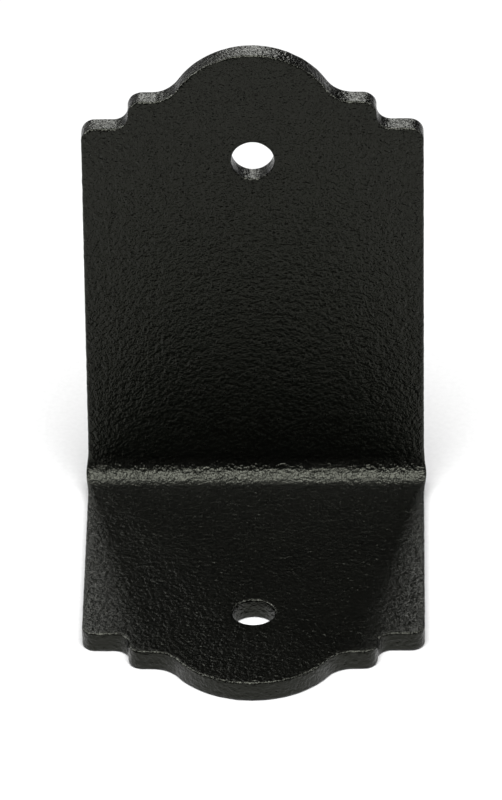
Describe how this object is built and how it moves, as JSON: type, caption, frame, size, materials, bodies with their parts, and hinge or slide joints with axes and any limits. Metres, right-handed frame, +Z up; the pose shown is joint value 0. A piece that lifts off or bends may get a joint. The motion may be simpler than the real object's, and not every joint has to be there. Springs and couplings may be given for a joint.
{
  "type": "ornamental angle bracket",
  "caption": "Black powder-coated steel angle bracket with stepped, crowned ends and a round fixing hole in each leg, for joining posts, rails and beams of gates, fences and doors.",
  "frame": {"origin": "on the underside of the foot leg, in the middle of the bracket's width and depth", "axes": "+Z up along the upright leg, +Y towards its back face, X across the width; the foot leg points along -Y"},
  "size_m": [0.0762, 0.087, 0.1163],
  "materials": {
    "black_powder_coat": "fine-textured satin black powder coat on steel plate"
  },
  "bodies": {
    "root": {"bracket_plate": "black_powder_coat"}
  },
  "joints": []
}
